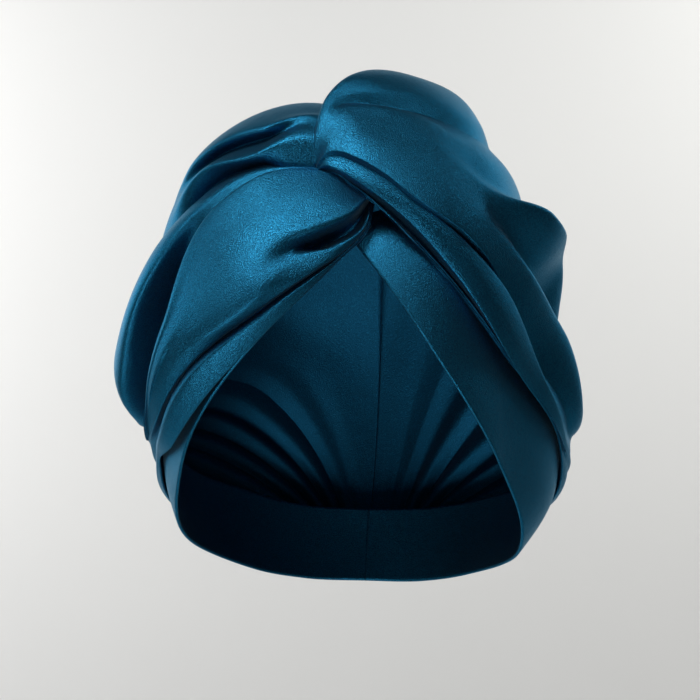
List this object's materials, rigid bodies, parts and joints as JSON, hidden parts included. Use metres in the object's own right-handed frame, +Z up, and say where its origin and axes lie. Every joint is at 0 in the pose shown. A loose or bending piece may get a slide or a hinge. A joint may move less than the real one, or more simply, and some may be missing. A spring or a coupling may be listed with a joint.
{
  "type": "sleep bonnet",
  "caption": "Satin sleep bonnet wrapped like a turban: gathered crown halves cross in a front twist over flat face bands, open below for the head.",
  "frame": {"origin": "middle of the head that the bonnet fits, level with the temples", "axes": "+Z up to the crown, -Y towards the face, +X to the wearer's left"},
  "size_m": [0.2057, 0.2133, 0.2428],
  "materials": {
    "wrap_satin": "satin",
    "band_satin": "satin"
  },
  "bodies": {
    "root": {"under_wrap": "wrap_satin", "over_wrap": "wrap_satin", "under_band": "band_satin", "over_band": "band_satin"}
  },
  "joints": []
}
